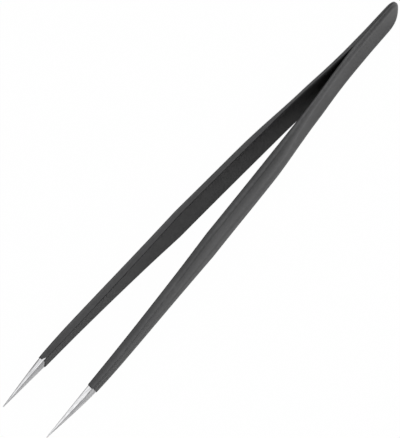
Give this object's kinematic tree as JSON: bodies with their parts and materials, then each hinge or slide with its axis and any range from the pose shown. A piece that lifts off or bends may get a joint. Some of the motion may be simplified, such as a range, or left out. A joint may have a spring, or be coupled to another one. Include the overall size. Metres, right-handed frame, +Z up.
{
  "type": "anti-static tweezers",
  "caption": "Straight fine-point tweezers: long bowed steel arms joined at the tail, a matte charcoal coat, and bare needle tips.",
  "frame": {"origin": "on the surface that the tweezers lie on, below the middle of their box", "axes": "+X along the length towards the needle points, +Y towards the right arm across the opening, +Z up across the blade's width"},
  "size_m": [0.14, 0.015, 0.0102],
  "materials": {
    "steel": "ground satin stainless steel, bright on the needle facets",
    "coat": "matte charcoal anti-static epoxy coat"
  },
  "bodies": {
    "root": {"right_arm": "steel", "left_arm": "steel", "coat": "coat"}
  },
  "joints": []
}
